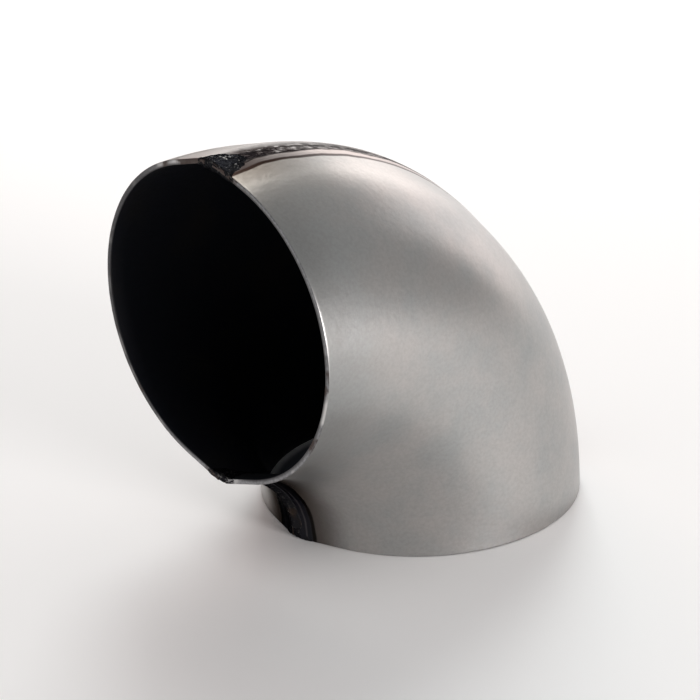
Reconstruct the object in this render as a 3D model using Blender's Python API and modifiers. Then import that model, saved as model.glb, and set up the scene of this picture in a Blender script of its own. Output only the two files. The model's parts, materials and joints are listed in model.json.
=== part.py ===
"""A 90 degree flue elbow, pressed as two half shells and welded along its back and its throat.

Blender 4.5, metres, +Z up. The elbow stands on its foot opening and its mouth faces -Y. X = 0 is
the plane of the bend, and both weld seams lie in it. The origin is the middle of the bottom of
the elbow's bounding box.

Every piece is a ring, turned about the axis of the bend, of which a block keeps one stretch.
"""

from math import cos, pi, radians, sin

import bmesh
import bpy

# Driving dimensions
OUTER_RADIUS = 0.060  # of the tube, at its sides
WALL = 0.002
BEND_RADIUS = 0.097  # of the tube's centre line
SEAM_FLAT = radians(18)  # a shell runs straight over this angle beside a seam, which makes a low ridge
FACE_HALF = 0.0024  # from the bend's plane to a shell's edge, on the outside
ROOT_HALF = 0.0013  # the same on the inside: the two edges leave a groove that opens outwards
JOINT_GAP = 0.0003  # between the weld metal and what it touches
BACK_CROWN = 0.0002  # how far the back weld stands above the shells' edges: it is ground nearly flush
THROAT_CROWN = 0.0004
TACK_CROWN = 0.0007
ROOT_CROWN = 0.0005  # how far all the weld metal stands proud of the inner wall
TACK_LENGTH = 0.009  # from a rim, along the seam

# Facets
TURN_STEPS = 96  # round the axis of the bend, of which a quarter is kept
ARC_STEPS = 18  # round the curved part of a shell's section
CROWN_STEPS = 6  # across the weld metal

DRAWN_STEEL = {"Base Color": (0.58, 0.57, 0.55, 1), "Metallic": 1.0, "Roughness": 0.38}
GROUND_WELD = {"Base Color": (0.36, 0.34, 0.33, 1), "Metallic": 1.0, "Roughness": 0.45}
RAW_WELD = {"Base Color": (0.26, 0.23, 0.21, 1), "Metallic": 1.0, "Roughness": 0.55}

BACK, THROAT = 1, -1  # the sides of the tube's centre line that the two seams lie on


def clear_scene():
    for old in list(bpy.data.objects):
        bpy.data.objects.remove(old)


def new_collection(name):
    made = bpy.data.collections.new(name)
    bpy.context.scene.collection.children.link(made)
    return made


def metal(name, finish):
    made = bpy.data.materials.new(name)
    made.use_nodes = True
    shader = made.node_tree.nodes["Principled BSDF"]
    for socket, value in finish.items():
        shader.inputs[socket].default_value = value
    return made


def seam_height(radius, across):
    """How high a shell's straight stretch is above the tube's centre line, at a distance from the seam."""
    return (radius - abs(across) * sin(SEAM_FLAT)) / cos(SEAM_FLAT)


def shell_line(radius, edge, side):
    """One face of a half shell's section, from back to throat: straight, round, straight."""
    line = [(side * edge, seam_height(radius, edge))]
    for i in range(ARC_STEPS + 1):
        turn = SEAM_FLAT + (pi - 2 * SEAM_FLAT) * i / ARC_STEPS
        line.append((side * radius * sin(turn), radius * cos(turn)))
    line.append((side * edge, -seam_height(radius, edge)))
    return line


def shell_section(side):
    outside = shell_line(OUTER_RADIUS, FACE_HALF, side)
    inside = shell_line(OUTER_RADIUS - WALL, ROOT_HALF, side)
    return outside + inside[::-1]


def crown_line(half, height, rise):
    """A shallow arch, half as wide as it says on each side of the seam."""
    shares = [2 * i / CROWN_STEPS - 1 for i in range(CROWN_STEPS + 1)]
    return [(share * half, height + rise * (1 - share**2)) for share in shares]


def weld_section(seam, crown):
    """The weld metal that fills the groove between the shells, crowned on the outside and inside."""
    face_height = seam_height(OUTER_RADIUS, FACE_HALF)
    root_height = seam_height(OUTER_RADIUS - WALL, ROOT_HALF)
    face = crown_line(FACE_HALF - JOINT_GAP, face_height, crown)
    root = crown_line(ROOT_HALF - JOINT_GAP, root_height, -ROOT_CROWN)
    return [(across, seam * out) for across, out in face + root[::-1]]


def counterclockwise(section):
    """The section, listed in the order that turns into a ring whose faces point outwards."""
    following = section[1:] + section[:1]
    doubled_area = sum(a[0] * b[1] - b[0] * a[1] for a, b in zip(section, following))
    return section if doubled_area > 0 else section[::-1]


def turned_ring(name, section, material):
    """The ring that a section makes in a whole turn about the X axis, which is the axis of the bend."""
    points = [(across, BEND_RADIUS + out, 0) for across, out in counterclockwise(section)]
    edges = [(i, (i + 1) % len(points)) for i in range(len(points))]
    mesh = bpy.data.meshes.new(name)
    mesh.from_pydata(points, edges, [])
    mesh.materials.append(material)

    ring = bpy.data.objects.new(name, mesh)
    turn = ring.modifiers.new("turn", "SCREW")
    turn.axis = "X"
    turn.steps = turn.render_steps = TURN_STEPS
    turn.use_merge_vertices = True
    turn.merge_threshold = 0.00001
    turn.use_smooth_shade = True
    return ring


def block(name, low, high):
    """A box between two corners, given along Y and Z from the axis of the bend."""
    shape = bmesh.new()
    bmesh.ops.create_cube(shape, size=1)
    size = (4 * OUTER_RADIUS, high[0] - low[0], high[1] - low[1])
    bmesh.ops.scale(shape, verts=shape.verts, vec=size)
    bmesh.ops.translate(shape, verts=shape.verts, vec=(0, (low[0] + high[0]) / 2, (low[1] + high[1]) / 2))
    mesh = bpy.data.meshes.new(name)
    shape.to_mesh(mesh)
    shape.free()
    made = bpy.data.objects.new(name, mesh)
    made.hide_render = True
    made.display_type = "WIRE"
    return made


def keep_inside(ring, stretch):
    cut = ring.modifiers.new("keep_inside", "BOOLEAN")
    cut.operation = "INTERSECT"
    cut.object = stretch


def stretches():
    """The blocks that keep the whole elbow, a tack at each rim, and the weld run between the tacks."""
    far = 2 * (BEND_RADIUS + OUTER_RADIUS)
    run_start = TACK_LENGTH + JOINT_GAP
    return {
        "elbow": block("elbow_stretch", (0, 0), (far, far)),
        "foot": block("foot_stretch", (0, 0), (far, TACK_LENGTH)),
        "mouth": block("mouth_stretch", (0, 0), (TACK_LENGTH, far)),
        "run": block("run_stretch", (run_start, run_start), (far, far)),
    }


def half_shells(kept, steel):
    for name, side in (("right_half_shell", 1), ("left_half_shell", -1)):
        shell = turned_ring(name, shell_section(side), steel)
        keep_inside(shell, kept["elbow"])
        yield shell


def seam_welds(kept, place, seam, crown, run_metal, tack_metal):
    """The weld run along one seam, and the tack at each of its ends."""
    run = turned_ring(f"{place}_seam_weld", weld_section(seam, crown), run_metal)
    keep_inside(run, kept["run"])
    yield run
    for end in ("foot", "mouth"):
        tack = turned_ring(f"{end}_{place}_tack", weld_section(seam, TACK_CROWN), tack_metal)
        keep_inside(tack, kept[end])
        yield tack


def bend_axis():
    """An empty on the axis of the bend, placed so that the elbow's box is centred on the origin."""
    back_reach = BEND_RADIUS + max(out for _, out in weld_section(BACK, TACK_CROWN))
    axis = bpy.data.objects.new("bend_axis", None)
    axis.location.y = -back_reach / 2
    return axis


def main():
    clear_scene()
    elbow = new_collection("flue_elbow")
    cutters = new_collection("cutters")
    axis = bend_axis()
    elbow.objects.link(axis)

    kept = stretches()
    for cutter in kept.values():
        cutters.objects.link(cutter)
        cutter.parent = axis

    steel = metal("drawn_steel", DRAWN_STEEL)
    ground = metal("ground_weld", GROUND_WELD)
    raw = metal("raw_weld", RAW_WELD)
    pieces = [
        *half_shells(kept, steel),
        *seam_welds(kept, "back", BACK, BACK_CROWN, ground, raw),
        *seam_welds(kept, "throat", THROAT, THROAT_CROWN, raw, raw),
    ]
    for piece in pieces:
        elbow.objects.link(piece)
        piece.parent = axis


main()
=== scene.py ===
# A welded steel flue elbow: two pressed half shells, a ground weld along the back, a raw one in the
# throat, and a rough tack at each end of both.
import json
from math import asin, cos, pi, radians, sin

import bpy
from mathutils import Matrix, Vector


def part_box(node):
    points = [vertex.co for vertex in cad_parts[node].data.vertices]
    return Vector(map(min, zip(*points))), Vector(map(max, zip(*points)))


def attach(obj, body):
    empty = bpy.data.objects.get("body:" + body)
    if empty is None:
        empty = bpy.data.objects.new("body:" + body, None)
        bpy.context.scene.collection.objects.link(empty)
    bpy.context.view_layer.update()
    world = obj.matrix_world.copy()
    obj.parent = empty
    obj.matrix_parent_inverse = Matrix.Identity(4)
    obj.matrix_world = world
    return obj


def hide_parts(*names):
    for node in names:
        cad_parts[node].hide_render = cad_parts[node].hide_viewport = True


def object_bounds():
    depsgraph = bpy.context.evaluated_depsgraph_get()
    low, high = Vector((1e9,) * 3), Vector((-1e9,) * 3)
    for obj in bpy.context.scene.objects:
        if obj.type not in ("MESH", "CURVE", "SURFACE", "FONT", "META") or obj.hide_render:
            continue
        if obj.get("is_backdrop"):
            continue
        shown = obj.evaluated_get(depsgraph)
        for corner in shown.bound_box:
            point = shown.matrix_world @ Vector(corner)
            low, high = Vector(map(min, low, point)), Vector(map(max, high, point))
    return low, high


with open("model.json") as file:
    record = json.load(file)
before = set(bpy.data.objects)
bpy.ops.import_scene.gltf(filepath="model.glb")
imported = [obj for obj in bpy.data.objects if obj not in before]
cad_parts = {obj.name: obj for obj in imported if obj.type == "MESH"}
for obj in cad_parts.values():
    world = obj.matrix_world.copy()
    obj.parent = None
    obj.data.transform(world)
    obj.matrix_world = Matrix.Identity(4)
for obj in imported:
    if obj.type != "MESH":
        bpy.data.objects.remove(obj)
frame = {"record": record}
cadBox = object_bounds()

# The elbow turns about an axis along X, on the floor and in the plane of its mouth.
mounts = {mount["name"]: mount for mount in frame["record"]["mounts"]}
tubeRadius = (cadBox[1].x - cadBox[0].x) / 2
bendRadius = mounts["mouth_rim"]["pos_m"][2]
axisY = cadBox[0].y
wall = 0.002
seamFlat = radians(18)  # the shells run straight beside a seam, which leaves a low ridge
back, throat = 1, -1  # sides of the tube's centre line


class Wire:
    # An output socket that builds Math nodes when it is used in a sum.
    def __init__(self, tree, socket):
        self.tree, self.socket = tree, socket

    def math(self, operation, *others):
        return addNode(self.tree, "ShaderNodeMath", self, *others, operation=operation)

    def __add__(self, other):
        return self.math("ADD", other)

    def __sub__(self, other):
        return self.math("SUBTRACT", other)

    def __mul__(self, other):
        return self.math("MULTIPLY", other)

    def __truediv__(self, other):
        return self.math("DIVIDE", other)

    def __rsub__(self, other):
        return (self * -1) + other

    __radd__, __rmul__ = __add__, __mul__

    def sine(self):
        return self.math("SINE")

    def cosine(self):
        return self.math("COSINE")

    def size(self):
        return self.math("ABSOLUTE")

    def power(self, exponent):
        return self.math("POWER", exponent)

    def atLeast(self, other):
        return self.math("MAXIMUM", other)

    def atMost(self, other):
        return self.math("MINIMUM", other)


def plug(tree, value, socket):
    if isinstance(value, Wire):
        tree.links.new(value.socket, socket)
    elif value is not None:
        socket.default_value = value


def addNode(tree, kind, *values, out=0, named=None, **settings):
    # values go into the first inputs, and named into inputs by name
    node = tree.nodes.new(kind)
    for setting, value in settings.items():
        setattr(node, setting, value)
    for value, socket in zip(values, node.inputs):
        plug(tree, value, socket)
    for name, value in (named or {}).items():
        plug(tree, value, node.inputs[name])
    return Wire(tree, node.outputs[out])


def ramp(tree, wire, low, high, start=0.0, stop=1.0):
    # eases from start to stop while wire goes from low to high
    return addNode(tree, "ShaderNodeMapRange", wire, low, high, start, stop, interpolation_type="SMOOTHSTEP")


def splitVector(tree, wire):
    node = tree.nodes.new("ShaderNodeSeparateXYZ")
    plug(tree, wire, node.inputs[0])
    return [Wire(tree, socket) for socket in node.outputs]


def joinVector(tree, x, y, z):
    return addNode(tree, "ShaderNodeCombineXYZ", x, y, z)


def noise(tree, place, scale, detail=2.0, roughness=0.5, stretch=(1, 1, 1), seed=0.0):
    moved = addNode(tree, "ShaderNodeVectorMath", place, stretch, operation="MULTIPLY")
    named = {"Vector": moved, "W": seed, "Scale": scale, "Detail": detail, "Roughness": roughness}
    return addNode(tree, "ShaderNodeTexNoise", noise_dimensions="4D", named=named)


def newTree(name, numbers, counts):
    # a tree with named float and whole-number inputs, and a material
    tree = bpy.data.node_groups.new(name, "GeometryNodeTree")
    face = tree.interface
    for label in numbers:
        face.new_socket(label, in_out="INPUT", socket_type="NodeSocketFloat")
    for label in counts:
        face.new_socket(label, in_out="INPUT", socket_type="NodeSocketInt")
    face.new_socket("Material", in_out="INPUT", socket_type="NodeSocketMaterial")
    face.new_socket("Geometry", in_out="OUTPUT", socket_type="NodeSocketGeometry")
    entry = tree.nodes.new("NodeGroupInput")
    return tree, {socket.name: Wire(tree, socket) for socket in entry.outputs if socket.name}


def finishTree(tree, mesh, places, material, mirrored=None):
    # where mirrored is above 0 the places turn the mesh inside out, so its faces are flipped
    if mirrored:
        mesh = addNode(tree, "GeometryNodeFlipFaces", mesh, mirrored.math("GREATER_THAN", 0.0))
    moved = addNode(tree, "GeometryNodeSetPosition", mesh, None, places)
    smooth = addNode(tree, "GeometryNodeSetShadeSmooth", moved)
    real = addNode(tree, "GeometryNodeRealizeInstances", smooth)
    painted = addNode(tree, "GeometryNodeSetMaterial", real, None, material)
    plug(tree, painted, tree.nodes.new("NodeGroupOutput").inputs[0])


def bendPlace(tree, across, out, angle, given):
    # the place at a distance across from the bend's plane and out from the tube's centre line
    reach = given["Bend Radius"] + out
    return joinVector(tree, across, given["Axis Y"] + reach * angle.cosine(), reach * angle.sine())


def seamHeight(given, across, depth=0.0):
    # how far out a shell's straight stretch is, at a distance across from the seam
    flat = given["Seam Flat"]
    return (given["Tube Radius"] - depth - across.size() * flat.sine()) / flat.cosine()


def grindDepth(given, across):
    # the grinder turns the ridge into a curve that meets the flats without a step
    inside = (given["Grind Half"] - across.size()).atLeast(0.0)
    return inside * inside * given["Seam Flat"].math("TANGENT") / (given["Grind Half"] * 2)


def backFullness(given, angle):
    # the swelling is greatest about a third of the way round from the foot
    return given["Back Fullness"] * ((angle * (2 / pi)).power(0.65) * pi).sine().power(2.0)


def madeMesh(name, tree, values, finish=None):
    # runs a tree, and any modifiers that finish adds, and keeps the result as a plain mesh
    maker = bpy.data.objects.new(name + "Maker", bpy.data.meshes.new(name + "Maker"))
    bpy.context.scene.collection.objects.link(maker)
    modifier = maker.modifiers.new("shape", "NODES")
    modifier.node_group = tree
    for socket in tree.interface.items_tree:
        if socket.in_out == "INPUT":
            modifier[socket.identifier] = values[socket.name]
    if finish:
        finish(maker)
    graph = bpy.context.evaluated_depsgraph_get()
    mesh = bpy.data.meshes.new_from_object(maker.evaluated_get(graph))
    mesh.name = name
    mesh.materials.pop(index=0)  # the empty slot that a mesh primitive starts with
    bpy.data.objects.remove(maker)
    made = bpy.data.objects.new(name, mesh)
    bpy.context.scene.collection.objects.link(made)
    return made


bendValues = {
    "Tube Radius": tubeRadius,
    "Bend Radius": bendRadius,
    "Axis Y": axisY,
    "Seam Flat": seamFlat,
    "Back Fullness": 0.0014,  # how far the back swells between its ends
    "Grind Half": 0.0075,  # half the width over which the back's ridge is ground to a round
}
bendInputs = list(bendValues)


halfShell = {
    "Edge": 0.0020,  # from the bend's plane to the shell's edge
    "Waviness": 0.00020,  # depth of the long hollows that pressing leaves
    "Ripple": 0.00004,  # depth of the shorter ones
    "Rim Inset": 0.00012,  # how far the cut ends stay inside the elbow's full length
    "Rim Wear": 0.00025,  # unevenness of the cut ends
    "Steps Along": 170,
    "Steps Around": 190,
    "rimRounding": 0.00045,
    "sharpAngle": 50,  # degrees past which an edge is rounded
}


def shellTree():
    tree, given = newTree("halfShell", bendInputs + ["Side", "Edge", "Waviness", "Ripple", "Rim Inset",
                                                     "Rim Wear", "Seed"], ["Steps Along", "Steps Around"])
    grid = addNode(tree, "GeometryNodeMeshGrid", 1.0, 1.0, given["Steps Along"], given["Steps Around"])
    u, v = splitVector(tree, addNode(tree, "GeometryNodeInputPosition"))[:2]
    radius, flat, side = given["Tube Radius"], given["Seam Flat"], given["Side"]

    # round the section from the back's edge to the throat's, the other way on the other side
    first = given["Edge"] * flat.cosine() / radius
    turn = first + (side * v + 0.5) * (pi - 2 * first)
    fromSeam = turn.atMost(pi - turn)
    plain = radius / (flat - fromSeam).atLeast(0.0).cosine()
    angle = (u + 0.5) * (pi / 2)
    toBack = turn.cosine().atLeast(0.0)
    shaved = grindDepth(given, plain * turn.sine()) * ramp(tree, toBack, 0.0, 0.3)
    ridge = plain + backFullness(given, angle) * toBack.power(2.0) - shaved
    smoothPlace = bendPlace(tree, side * ridge * turn.sine(), ridge * turn.cosine(), angle, given)

    # uneven cut ends, and shallow hollows all over
    ends = (u * -2).power(9.0)  # 1 at the foot and -1 at the mouth
    wear = noise(tree, smoothPlace, 120.0, detail=3.0, seed=given["Seed"]) * given["Rim Wear"]
    trim = (given["Rim Inset"] + wear) / (given["Bend Radius"] + ridge * turn.cosine())
    hollow = noise(tree, smoothPlace, 24.0, detail=1.0, seed=given["Seed"] + 5) * given["Waviness"]
    ripple = noise(tree, smoothPlace, 95.0, detail=1.0, seed=given["Seed"] + 9) * given["Ripple"]
    worn = ridge - hollow - ripple
    places = bendPlace(tree, side * worn * turn.sine(), worn * turn.cosine(), angle + ends * trim, given)
    finishTree(tree, grid, places, given["Material"])
    return tree


def giveWall(maker):
    for slot in range(4):
        maker.data.materials.append(None)  # Solidify counts these slots
    solid = maker.modifiers.new("wall", "SOLIDIFY")
    solid.thickness = wall
    solid.offset = -1
    solid.use_even_offset = True
    solid.material_offset = 1
    solid.material_offset_rim = 2
    rounding = maker.modifiers.new("rounding", "BEVEL")
    rounding.width = halfShell["rimRounding"]
    rounding.segments = 3
    rounding.limit_method = "ANGLE"
    rounding.angle_limit = radians(halfShell["sharpAngle"])


def makeHalfShells(outside, inside, rim):
    tree = shellTree()
    for name, side, seed in (("rightHalfShell", 1, 3.0), ("leftHalfShell", -1, 11.0)):
        values = {**bendValues, **halfShell, "Side": side, "Seed": seed, "Material": outside}
        shell = madeMesh(name, tree, values, giveWall)
        for material in (inside, rim):
            shell.data.materials.append(material)
        yield shell


weldRun = {
    "Steps Around": 36,
    "Root Half": 0.0012,  # half the width of the ridge that shows in the bore
    "Root Crown": 0.0006,  # and its height
    "Sunk": 0.00006,  # how far the run's edges dip into the shells
    "Wall": wall,
    "overlap": 0.004,  # how far a run goes on into the tacks
}
backRun = {
    "Half Width": 0.0030,
    "Crown": 0.00022,  # height of the bead before grinding
    "Ripple Pitch": 0.0014,
    "Ripple Depth": 0.00016,
    "Ground To": 0.00005,  # the height above the ground shells that the grinder leaves
    "Roughness": 0.00009,  # depth of the fine grain on the face
    "Seed": 1.0,
    "Steps Along": 1150,
}
throatRun = {
    "Half Width": 0.0036,
    "Crown": 0.00070,
    "Ripple Pitch": 0.0022,
    "Ripple Depth": 0.00007,
    "Ground To": 0.01,  # not ground
    "Roughness": 0.00012,
    "Seed": 2.0,
    "Steps Along": 260,
    "Back Fullness": 0.0,
    "Grind Half": 0.0001,
}


def weldTree():
    tree, given = newTree("weldRun", bendInputs + ["Wall", "Seam", "Half Width", "Crown", "Root Half",
                                                   "Root Crown", "Sunk", "Ripple Pitch", "Ripple Depth",
                                                   "Ground To", "Roughness", "Seed", "Start", "Stop"],
                          ["Steps Around", "Steps Along"])
    rod = addNode(tree, "GeometryNodeMeshCylinder", given["Steps Around"], given["Steps Along"], 1, 1.0, 1.0)
    x, y, z = splitVector(tree, addNode(tree, "GeometryNodeInputPosition"))
    seam = given["Seam"]
    angle = given["Start"] + (z + 0.5) * (given["Stop"] - given["Start"])
    run = angle * (given["Bend Radius"] + seam * given["Tube Radius"])
    smoothPlace = bendPlace(tree, x * given["Half Width"], seam * given["Tube Radius"], angle, given)
    wander = noise(tree, smoothPlace, 130.0, detail=2.0, seed=given["Seed"])

    onFace = ramp(tree, y, -0.15, 0.25)  # 1 on the face of the weld, 0 on its root
    half = given["Root Half"] + onFace * (given["Half Width"] * (0.8 + 0.4 * wander) - given["Root Half"])
    across = x * half
    arch = 1 - x * x
    crescents = ((run / given["Ripple Pitch"] + x * x * 0.9 + wander) * pi).sine().size()
    grain = noise(tree, smoothPlace, 900.0, detail=3.0, seed=given["Seed"] + 3)
    uneven = noise(tree, smoothPlace, 260.0, detail=2.0, seed=given["Seed"] + 6) * 2
    bead = given["Crown"] * arch + given["Ripple Depth"] * uneven * (crescents - 1) * arch.power(0.5)
    rough = given["Roughness"] * (grain - 0.5) * arch
    sunk = given["Sunk"] * (1 - arch)

    shell = seamHeight(given, across) + backFullness(given, angle) - grindDepth(given, across)
    face = shell + bead.atMost(given["Ground To"] * arch.power(0.3)) + rough - sunk
    root = shell - given["Wall"] - given["Root Crown"] * arch * (0.7 + 0.3 * crescents)
    out = root + onFace * (face - root)
    places = bendPlace(tree, across, seam * out, angle, given)
    finishTree(tree, rod, places, given["Material"], mirrored=seam * -1)
    return tree


def makeWeldRuns(ground, raw):
    tree = weldTree()
    for name, node, seam, run, material in (("backSeamWeld", "back_seam_weld", back, backRun, ground),
                                            ("throatSeamWeld", "throat_seam_weld", throat, throatRun, raw)):
        reach = bendRadius + seam * tubeRadius
        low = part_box(node)[0]
        start = asin((low.z - weldRun["overlap"]) / reach)
        values = {**bendValues, **weldRun, **run, "Seam": seam, "Start": start, "Stop": pi / 2 - start,
                  "Material": material}
        yield madeMesh(name, tree, values)


tack = {
    "Steps": 110,
    "Depth": 0.0019,  # half the lump's height, measured from the middle of the wall
    "Lumps": 0.9,  # share of the depth by which it rises and falls
    "Grain": 0.00045,  # depth of the fine grain
    "Pitting": 0.0013,  # how uneven the end in the rim's plane is
    "Off Centre": 0.0,  # how far the lump sits towards the right shell
    "Wall": wall,
    "Back Fullness": 0.0,
    "Grind Half": 0.0090,
}
tackSizes = {
    "mouth_back_tack": {"Half Width": 0.0090, "Length": 0.0140, "Off Centre": 0.0036, "Seed": 1.0},
    "foot_back_tack": {"Half Width": 0.0075, "Length": 0.0120, "Seed": 4.0},
    "mouth_throat_tack": {"Half Width": 0.0070, "Length": 0.0080, "Depth": 0.0013, "Seed": 7.0},
    "foot_throat_tack": {"Half Width": 0.0070, "Length": 0.0085, "Depth": 0.0015, "Seed": 9.0},
}


def tackTree():
    tree, given = newTree("tack", bendInputs + ["Wall", "Seam", "Mouth", "Off Centre", "Half Width", "Length",
                                                "Depth", "Lumps", "Grain", "Pitting", "Highest", "Seed"],
                          ["Steps"])
    ball = addNode(tree, "GeometryNodeMeshUVSphere", given["Steps"], given["Steps"], 1.0)
    x, y, z = splitVector(tree, addNode(tree, "GeometryNodeInputPosition"))
    seam = given["Seam"]

    # the footprint: widest at the rim, with a ragged edge, and cut off flat in the rim's plane
    ragged = noise(tree, joinVector(tree, x, y, 0.0), 2.2, detail=3.0, seed=given["Seed"])
    squarer = x.math("SIGN") * x.size().power(0.75)
    length = y.atLeast(0.0)
    pitted = noise(tree, joinVector(tree, x, z, 0.0), 5.0, detail=3.0, seed=given["Seed"] + 4)
    along = length * given["Length"] * (0.7 + 0.6 * ragged) + (pitted - 0.3).atLeast(0.02) * given["Pitting"]
    half = given["Half Width"] * (1 - 0.5 * length) * (0.7 + 0.6 * ragged)
    across = squarer * half + given["Off Centre"]

    spot = joinVector(tree, across, along, z * 0.0008)
    lump = noise(tree, spot, 330.0, detail=2.0, seed=given["Seed"] + 2)
    grain = noise(tree, spot, 1300.0, detail=3.0, seed=given["Seed"] + 3)
    boxy = z.math("SIGN") * z.size().power(0.55)
    rise = boxy * given["Depth"] * (1 + given["Lumps"] * (lump - 0.5)) + given["Grain"] * (grain - 0.5)
    middle = seamHeight(given, across, given["Wall"] * 0.5) - grindDepth(given, across)
    out = (middle + rise).atMost(given["Highest"])
    fromRim = along / (given["Bend Radius"] + seam * out)
    angle = fromRim + given["Mouth"] * (pi / 2 - 2 * fromRim)
    places = bendPlace(tree, across, seam * out, angle, given)
    finishTree(tree, ball, places, given["Material"], mirrored=seam * (1 - given["Mouth"] * 2))
    return tree


def makeTacks(raw):
    tree = tackTree()
    for node, sizes in tackSizes.items():
        end, place = node.split("_")[:2]
        values = {**bendValues, **tack, **sizes, "Seam": back if place == "back" else throat,
                  "Mouth": float(end == "mouth"), "Highest": cadBox[1].z - bendRadius, "Material": raw}
        yield madeMesh(end + place.capitalize() + "Tack", tree, values)


def newMaterial(name, metallic):
    material = bpy.data.materials.new(name)
    material.use_nodes = True
    tree = material.node_tree
    shader = tree.nodes["Principled BSDF"]
    shader.inputs["Metallic"].default_value = metallic
    place = addNode(tree, "ShaderNodeTexCoord", out=3)
    return material, tree, shader, place


def mixColour(tree, share, first, second):
    node = tree.nodes.new("ShaderNodeMix")
    node.data_type = "RGBA"
    plug(tree, share, node.inputs[0])
    plug(tree, first if isinstance(first, Wire) else (*first, 1), node.inputs[6])
    plug(tree, second if isinstance(second, Wire) else (*second, 1), node.inputs[7])
    return Wire(tree, node.outputs[2])


def bump(tree, height, distance):
    return addNode(tree, "ShaderNodeBump", named={"Height": height, "Distance": distance})


def paint(tree, shader, colour, roughness, normal):
    plug(tree, colour, shader.inputs["Base Color"])
    plug(tree, roughness, shader.inputs["Roughness"])
    plug(tree, normal, shader.inputs["Normal"])


def dullEdges(tree, shader, share):
    # metal goes white at a glancing angle, but oxide on it stays dark
    clean, oxide = (0.92, 0.92, 0.92), (0.05, 0.05, 0.05)
    plug(tree, mixColour(tree, share, clean, oxide), shader.inputs["Specular Tint"])


def hypotenuse(first, second):
    return (first * first + second * second).math("SQRT")


def nearestRim(y, z):
    return (y - axisY).atMost(z)


def isOnBack(tree, y, z):
    # 1 on the back's half of the tube and 0 on the throat's
    return ramp(tree, hypotenuse(y - axisY, z), bendRadius - 0.005, bendRadius + 0.005)


def unevenly(wire, amount):
    # noise turned into a shift either way
    return (wire - 0.5) * amount


drawnSteel = {
    "steel": (0.466, 0.451, 0.438),
    "shade": (0.390, 0.400, 0.398),
    "nearMouth": (0.300, 0.307, 0.303),
    "palePink": (0.42, 0.375, 0.36),
    "smoky": (0.17, 0.150, 0.145),
    "hotBrown": (0.070, 0.058, 0.055),
    "brownLine": (0.036, 0.025, 0.022),
    "straw": (0.195, 0.168, 0.147),
    "burntBlue": (0.026, 0.027, 0.034),
    "burntLine": (0.012, 0.010, 0.009),
    "burntArc": (0.15, 0.14, 0.145),
    "burntBrown": (0.105, 0.088, 0.078),
    "roughness": 0.325,
    "dimReach": 0.030,  # how far in from the mouth the metal is darkened by a painted shade
    "backLine": 0.0095,  # from the back seam to the brown line, with the pink band inside it
    "backFade": (0.010, 0.050),  # from a rim, where the back's tint starts and ends its fade
    "throatBlue": 0.0080,  # from the throat seam to the edge of the blue-black burn
    "throatArc": 0.0050,  # and to the painted highlight arc along the weld's edge within it
    "grindHalf": 0.0060,  # how far the grinder went each side of the back seam
    "grindFar": 0.0075,  # and how much further on the far side
}
groundSteel = {
    "dark": (0.026, 0.023, 0.024),
    "middle": (0.060, 0.053, 0.052),
    "light": (0.22, 0.200, 0.193),
    "farSide": (0.27, 0.248, 0.238),
    "roughness": 0.45,
}


def band(tree, distance, centre, half, strength):
    # a soft line at a distance from the seam
    return ramp(tree, (distance - centre).size(), half * 0.4, half, strength, 0.0)


def groundLook(tree, place):
    # what the grinder leaves: dark mottled skin, scratched along the seam, and cleaner on the far side
    x, y, z = splitVector(tree, place)
    skin = noise(tree, place, 420.0, detail=4.0, roughness=0.65, seed=1.0)
    streak = noise(tree, place, 900.0, detail=2.0, stretch=(1.6, 0.22, 0.22), seed=2.0)
    patch = noise(tree, place, 90.0, detail=2.0, seed=8.0)
    mixed = skin * 0.5 + streak * 0.5
    rim = nearestRim(y, z)
    clean = ramp(tree, rim, 0.005, 0.050, -0.07, 0.05) + unevenly(patch, 0.12)
    shade = mixed + clean
    colour = mixColour(tree, ramp(tree, shade, 0.42, 0.52), groundSteel["dark"], groundSteel["middle"])
    colour = mixColour(tree, ramp(tree, shade, 0.52, 0.66), colour, groundSteel["light"])
    farSide = ramp(tree, x + unevenly(skin, 0.006), -0.0055, 0.0030, 0.95, 0.0)
    colour = mixColour(tree, farSide, colour, groundSteel["farSide"])
    dull = (0.85 - ramp(tree, shade, 0.48, 0.64) - farSide).atLeast(0.0)
    dull = dull * ramp(tree, rim, 0.015, 0.055, 1.0, 0.5)
    return colour, groundSteel["roughness"] + unevenly(streak, 0.2), mixed, dull


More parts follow.
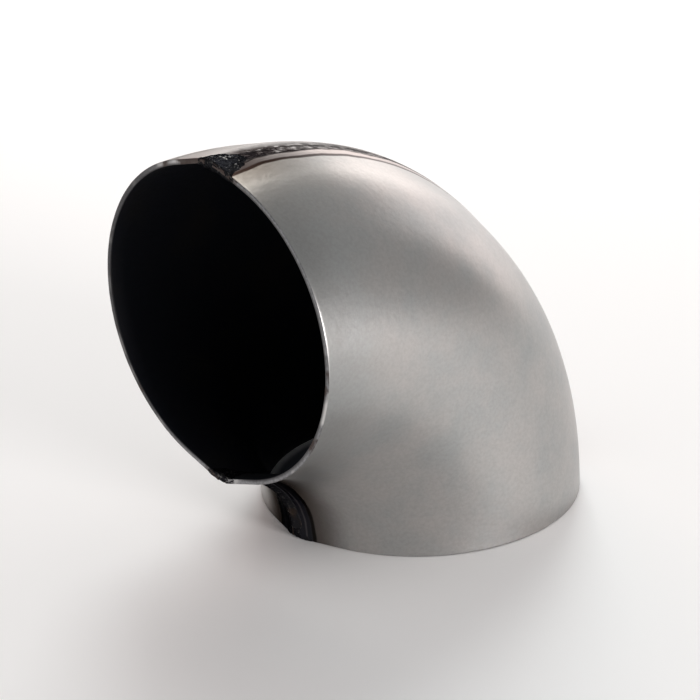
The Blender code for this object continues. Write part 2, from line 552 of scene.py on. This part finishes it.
def drawnSteelMaterial():
    look = drawnSteel
    material, tree, shader, place = newMaterial("drawnSteel", 1.0)
    x, y, z = splitVector(tree, place)
    fromSeam, onBack, rim = x.size(), isOnBack(tree, y, z), nearestRim(y, z)
    cloud = noise(tree, place, 38.0, detail=5.0, roughness=0.62)
    grain = noise(tree, place, 750.0, detail=3.0, roughness=0.7, seed=7.0)
    drift = noise(tree, place, 60.0, detail=3.0, seed=2.0)
    colour = mixColour(tree, ramp(tree, cloud, 0.35, 0.70), look["steel"], look["shade"])
    # painted shade: darker near the mouth, standing in for a dark reflection there
    paintedDimming = ramp(tree, y - axisY + unevenly(cloud, 0.04), 0.0, look["dimReach"], 0.8, 0.0)
    colour = mixColour(tree, paintedDimming * ramp(tree, fromSeam, 0.014, 0.046), colour, look["nearMouth"])
    colour = mixColour(tree, ramp(tree, grain, 0.30, 0.68, 0.17, 0.0), colour, look["smoky"])

    # heat tint beside the back weld, wider and stronger near the rims
    flare = ramp(tree, rim, 0.0, 0.020, 0.0022, 0.0) + ramp(tree, rim, 0.03, 0.10, 0.0, -0.0022)
    tinted = fromSeam + unevenly(drift, 0.0020) - flare
    line = look["backLine"]
    fade = ramp(tree, rim, *look["backFade"], 1.0, 0.05)
    hot = ramp(tree, tinted, line - 0.0007, line + 0.0003, 1.0, 0.0) * onBack
    strawShare = ramp(tree, tinted, 0.010, 0.038, 0.95, 0.0) * onBack * fade
    colour = mixColour(tree, strawShare, colour, look["straw"])
    colour = mixColour(tree, hot, colour, look["palePink"])
    colour = mixColour(tree, hot * ramp(tree, rim, 0.006, 0.050, 0.97, 0.0), colour, look["hotBrown"])
    colour = mixColour(tree, band(tree, tinted, line, 0.0010, 0.97) * onBack, colour, look["brownLine"])

    # burnt metal beside the throat weld, and a painted highlight arc within the burn
    left = ramp(tree, x, -0.004, 0.0, 1.0, 0.0)
    burnt = fromSeam + unevenly(drift, 0.0030) - left * 0.003
    atThroat = 1 - onBack
    brownShare = ramp(tree, burnt - left * 0.003, 0.009, 0.025, 0.88, 0.0) * atThroat
    colour = mixColour(tree, brownShare, colour, look["burntBrown"])
    blue = look["throatBlue"]
    blueShare = ramp(tree, burnt, blue - 0.0016, blue + 0.0018, 0.95, 0.0) * atThroat
    colour = mixColour(tree, blueShare, colour, look["burntBlue"])
    colour = mixColour(tree, band(tree, burnt, blue, 0.0011, 0.9) * atThroat, colour, look["burntLine"])
    # painted highlight: a lighter arc along the weld's edge, within the burn
    paintedArcShare = band(tree, burnt, look["throatArc"], 0.0005, 0.45) * atThroat
    colour = mixColour(tree, paintedArcShare, colour, look["burntArc"])

    # the ground stretch
    groundColour, groundRough, groundHeight, groundDull = groundLook(tree, place)
    wide = ramp(tree, x, -0.002, 0.0, look["grindFar"], 0.0)
    edge = tinted - wide + unevenly(drift, 0.002)
    grindHalf = look["grindHalf"]
    ground = ramp(tree, edge, grindHalf, grindHalf + 0.0008 + wide * 0.6, 1.0, 0.0) * onBack
    colour = mixColour(tree, ground, colour, groundColour)

    fine = noise(tree, place, 1500.0, detail=1.0, seed=4.0)
    peel = noise(tree, place, 380.0, detail=2.0, seed=6.0)
    plainRough = look["roughness"] + unevenly(cloud, 0.12)
    roughness = plainRough + ground * (groundRough - plainRough)
    height = peel * 0.00006 + fine * 0.000014 + ground * groundHeight * 0.00020

    # where oxide covers the metal
    oxide = hot * ramp(tree, rim, 0.006, 0.050, 0.95, 0.0)
    oxide = oxide.atLeast(ramp(tree, tinted, 0.010, 0.030, 0.8, 0.0) * onBack * fade)
    oxide = oxide.atLeast(ramp(tree, burnt, 0.009, 0.022, 0.9, 0.0) * atThroat)
    dullEdges(tree, shader, oxide * (1 - ground) + groundDull * ground)
    paint(tree, shader, colour, roughness, bump(tree, height, 1.0))
    return material


darkScale = {
    "scale": (0.0032, 0.0039, 0.0070),
    "brownish": (0.0078, 0.0070, 0.0074),
    "roughness": 0.50,
    "gloss": 0.35,
}


def scaleMaterial():
    # what covers the bore
    look = darkScale
    material, tree, shader, place = newMaterial("darkScale", 0.0)
    cloud = noise(tree, place, 45.0, detail=5.0)
    fine = noise(tree, place, 600.0, detail=2.0, seed=3.0)
    colour = mixColour(tree, ramp(tree, cloud, 0.45, 0.75), look["scale"], look["brownish"])
    shader.inputs["Specular IOR Level"].default_value = look["gloss"]
    paint(tree, shader, colour, look["roughness"] + unevenly(fine, 0.2), bump(tree, fine, 0.00006))
    return material


cutRim = {
    "metal": (0.29, 0.29, 0.30),
    "scratched": (0.18, 0.18, 0.185),
    "bright": (0.62, 0.61, 0.60),
    "dark": (0.040, 0.038, 0.040),
    "rust": (0.050, 0.032, 0.026),
    "roughness": 0.32,
}


def cutRimMaterial():
    look = cutRim
    material, tree, shader, place = newMaterial("cutRim", 1.0)
    x, y, z = splitVector(tree, place)
    fromSeam = x.size()
    patches = noise(tree, place, 110.0, detail=4.0, seed=5.0)
    scratch = noise(tree, place, 1100.0, detail=2.0, seed=2.0)
    worn = noise(tree, place, 70.0, detail=2.0, seed=9.0)
    colour = mixColour(tree, ramp(tree, scratch, 0.3, 0.7), look["metal"], look["scratched"])
    # painted highlights: lighter patches on the cut edge, where the worn noise is high
    colour = mixColour(tree, ramp(tree, worn, 0.54, 0.66), colour, look["bright"])

    # painted shade: darker towards the bore, and on the left shell
    fromCentre = hypotenuse(x, hypotenuse(y - axisY, z) - bendRadius)
    paintedBoreShade = ramp(tree, fromCentre, tubeRadius - wall, tubeRadius - wall * 0.3, 0.92, 0.0)
    paintedLeftShade = ramp(tree, x + unevenly(worn, 0.03), -0.045, -0.005, 0.80, 0.0)
    colour = mixColour(tree, paintedBoreShade.atLeast(paintedLeftShade), colour, look["dark"])

    # rust in patches, most of it near the seams
    nearBack = ramp(tree, fromSeam, 0.006, 0.022, 0.18, 0.0) * isOnBack(tree, y, z)
    nearSeam = ramp(tree, fromSeam, 0.004, 0.020, 0.14, 0.0)
    rust = ramp(tree, patches + nearBack + nearSeam, 0.56, 0.66, 0.0, 0.92)
    colour = mixColour(tree, rust, colour, look["rust"])
    paint(tree, shader, colour, look["roughness"] + unevenly(patches, 0.2), bump(tree, scratch, 0.00010))
    return material


def groundWeldMaterial():
    material, tree, shader, place = newMaterial("groundWeld", 1.0)
    colour, roughness, height, dull = groundLook(tree, place)
    dullEdges(tree, shader, dull)
    paint(tree, shader, colour, roughness, bump(tree, height, 0.00022))
    return material


rawWeld = {
    "crust": (0.028, 0.028, 0.031),
    "brown": (0.052, 0.040, 0.034),
    "glint": (0.26, 0.25, 0.24),
    "roughness": 0.44,
}


def rawWeldMaterial():
    look = rawWeld
    material, tree, shader, place = newMaterial("rawWeld", 1.0)
    blotch = noise(tree, place, 330.0, detail=4.0, roughness=0.6, seed=1.0)
    brown = noise(tree, place, 120.0, detail=2.0, seed=4.0)
    speck = noise(tree, place, 1100.0, detail=3.0, roughness=0.7, seed=6.0)
    colour = mixColour(tree, ramp(tree, brown, 0.58, 0.72), look["crust"], look["brown"])
    glint = ramp(tree, speck * 0.6 + blotch * 0.4, 0.55, 0.64)
    colour = mixColour(tree, glint, colour, look["glint"])
    dullEdges(tree, shader, ramp(tree, blotch, 0.56, 0.68, 1.0, 0.3))
    roughness = look["roughness"] + unevenly(blotch, 0.3)
    paint(tree, shader, colour, roughness, bump(tree, blotch * 0.5 + speck * 0.5, 0.00030))
    return material


studio = {
    "azimuth": 48.37,
    "elevation": 24.36,
    "roll": -1.58,
    "distance": 1.493,
    "lens": 211.4,
    "aim": (0.0038, -0.0199, -0.0114),  # from the middle of the elbow
    "floor": (0.95, 0.95, 0.95),
    "floorSize": 12,
    "floorRoughness": 0.8,
    "underFoot": (0.13, 0.14, 0.175),  # painted shade on the floor inside the foot, which the bore shows dark
    "world": 0.40,
}
lamps = {
    # name: azimuth, elevation, distance, size, power, colour
    "right": (94, 3, 1.8, (0.62, 0.50), 42.5, (1.0, 0.940, 0.925)),
    "backLeft": (227, 38, 1.8, (0.60, 1.60), 19, (0.96, 1.0, 0.99)),
    "left": (250, 33, 1.8, (0.90, 0.60), 4.5, (1.0, 0.66, 0.58)),
    "backLow": (196, 11, 1.8, (1.40, 0.90), 5.2, (1.0, 0.90, 0.88)),
    "backEdge": (210, 15, 1.8, (0.42, 0.60), 0.85, (1.0, 0.96, 0.91)),
}


def direction(azimuth, elevation):
    a, e = radians(azimuth), radians(elevation)
    return Vector((sin(a) * cos(e), -cos(a) * cos(e), sin(e)))


def facing(place, target, roll=0.0):
    turn = (target - place).to_track_quat("-Z", "Y").to_matrix().to_4x4()
    return Matrix.Translation(place) @ turn @ Matrix.Rotation(radians(roll), 4, "Z")


def makeStudio():
    middle = (cadBox[0] + cadBox[1]) / 2
    data = bpy.data.cameras.new("camera")
    data.lens = studio["lens"]
    camera = bpy.data.objects.new("camera", data)
    aim = middle + Vector(studio["aim"])
    place = aim + studio["distance"] * direction(studio["azimuth"], studio["elevation"])
    camera.matrix_world = facing(place, aim, studio["roll"])
    bpy.context.scene.collection.objects.link(camera)
    bpy.context.scene.camera = camera

    for name, (azimuth, elevation, distance, size, power, colour) in lamps.items():
        light = bpy.data.lights.new(name, "AREA")
        light.shape = "RECTANGLE"
        light.size, light.size_y = size
        light.energy = power
        light.color = colour
        lamp = bpy.data.objects.new(name, light)
        lamp.matrix_world = facing(middle + distance * direction(azimuth, elevation), middle)
        bpy.context.scene.collection.objects.link(lamp)

    world = bpy.data.worlds.new("studio")
    world.use_nodes = True
    level = studio["world"]
    world.node_tree.nodes["Background"].inputs["Color"].default_value = (level, level, level, 1)
    bpy.context.scene.world = world

    bpy.ops.mesh.primitive_plane_add(size=studio["floorSize"])
    floor = bpy.context.object
    floor.name = "floor"
    material, tree, shader, spot = newMaterial("floorPaper", 0.0)
    x, y, z = splitVector(tree, spot)
    # painted shade: the floor inside the foot is darkened
    fromFoot = hypotenuse(x, y - (axisY + bendRadius))
    outside = ramp(tree, fromFoot, tubeRadius * 0.90, tubeRadius * 0.97)
    colour = mixColour(tree, outside, studio["underFoot"], studio["floor"])
    paint(tree, shader, colour, studio["floorRoughness"], None)
    floor.data.materials.append(material)
    floor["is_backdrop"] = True
    bpy.context.scene.view_settings.view_transform = "Standard"


def keep(piece, node, slotName):
    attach(piece, "root")
    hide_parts(node)


print("studio")
makeStudio()

print("materials")
steel, scale, rimCut = drawnSteelMaterial(), scaleMaterial(), cutRimMaterial()
ground, raw = groundWeldMaterial(), rawWeldMaterial()

print("half shells")
for piece, node in zip(makeHalfShells(steel, scale, rimCut), ("right_half_shell", "left_half_shell")):
    keep(piece, node, "drawn_steel")

print("weld runs")
runs = (("back_seam_weld", "ground_weld"), ("throat_seam_weld", "raw_weld"))
for piece, (node, slotName) in zip(makeWeldRuns(ground, raw), runs):
    keep(piece, node, slotName)

print("tacks")
for piece, node in zip(makeTacks(raw), tackSizes):
    keep(piece, node, "raw_weld")

boxes = {"cad": cadBox, "visual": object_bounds()}
{label: [list(corner) for corner in box] for label, box in boxes.items()}
